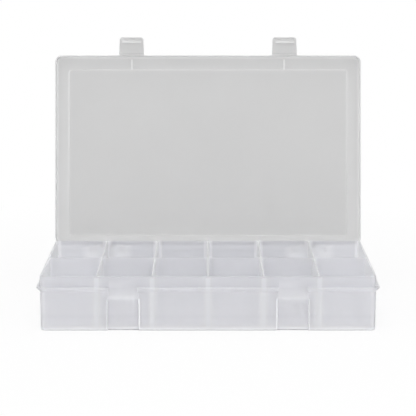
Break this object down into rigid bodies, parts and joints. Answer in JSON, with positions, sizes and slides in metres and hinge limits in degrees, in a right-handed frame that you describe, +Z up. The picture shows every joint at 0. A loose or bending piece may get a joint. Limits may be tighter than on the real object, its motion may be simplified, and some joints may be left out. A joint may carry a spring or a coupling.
{
  "type": "compartment storage box",
  "caption": "Low lidded box of translucent plastic, divided into rows of equal compartments for small parts, with a hinged lid and folding front latches.",
  "frame": {"origin": "centre of the flat underside of the tray", "axes": "+X along the front to the viewer's right, +Y from the front to the hinge side, +Z up"},
  "size_m": [0.2742, 0.2107, 0.221],
  "materials": {
    "tray_polypropylene": "moulded, milky, half clear",
    "lid_polypropylene": "moulded, milky, half clear"
  },
  "bodies": {
    "tray": {"base_tray": "tray_polypropylene", "row_divider": "tray_polypropylene", "front_divider_1": "tray_polypropylene", "front_divider_2": "tray_polypropylene", "front_divider_3": "tray_polypropylene", "front_divider_4": "tray_polypropylene", "front_divider_5": "tray_polypropylene", "rear_divider_1": "tray_polypropylene", "rear_divider_2": "tray_polypropylene", "rear_divider_3": "tray_polypropylene", "rear_divider_4": "tray_polypropylene", "rear_divider_5": "tray_polypropylene", "hinge_pin_left": "tray_polypropylene", "hinge_pin_right": "tray_polypropylene"},
    "lid": {"lid_cover": "lid_polypropylene", "latch_film_left": "lid_polypropylene", "latch_film_right": "lid_polypropylene"},
    "left_latch": {"latch_tab_left": "lid_polypropylene"},
    "right_latch": {"latch_tab_right": "lid_polypropylene"}
  },
  "joints": [
    {"name": "lid_hinge", "type": "hinge", "parent": "tray", "child": "lid", "pos_m": [0, 0.0882, 0.0352], "axis": [1, 0, 0], "range_deg": [0, 99]},
    {"name": "left_latch_fold", "type": "hinge", "parent": "lid", "child": "left_latch", "pos_m": [-0.06782, 0.11587, 0.20577], "axis": [1, 0, 0], "range_deg": [0, 90], "stiffness_Nm_per_rad": 0.003},
    {"name": "right_latch_fold", "type": "hinge", "parent": "lid", "child": "right_latch", "pos_m": [0.06782, 0.11587, 0.20577], "axis": [1, 0, 0], "range_deg": [0, 90], "stiffness_Nm_per_rad": 0.003}
  ]
}
